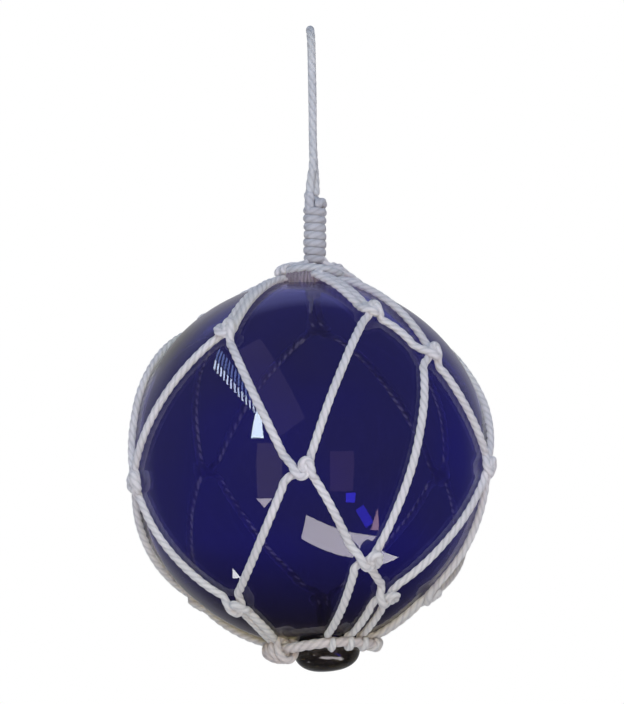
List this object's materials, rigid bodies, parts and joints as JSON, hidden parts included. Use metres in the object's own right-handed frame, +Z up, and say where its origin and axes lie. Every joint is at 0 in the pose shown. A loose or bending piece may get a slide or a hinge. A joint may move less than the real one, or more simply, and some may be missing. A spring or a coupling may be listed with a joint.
{
  "type": "glass float ball",
  "caption": "Sealed blown-glass float in a knotted rope net, hung from a whipped rope loop; a decorative hanging ornament.",
  "frame": {"origin": "the hang point: on the underside of the hanging loop's top bend, where a hook or nail carries it", "axes": "+Z up, along the hanging direction; -Y is the front, towards the viewer; +X to the viewer's right"},
  "size_m": [0.2046, 0.208, 0.3561],
  "materials": {
    "cobalt_glass": "smooth blown glass, deep cobalt blue, see-through",
    "cotton_rope": "three-strand laid cotton rope, off-white, lightly fuzzy"
  },
  "bodies": {
    "root": {"glass_ball": "cobalt_glass", "netting": "cotton_rope", "bottom_ring": "cotton_rope", "crown_ring": "cotton_rope", "whipping": "cotton_rope", "hanging_loop": "cotton_rope"}
  },
  "joints": []
}
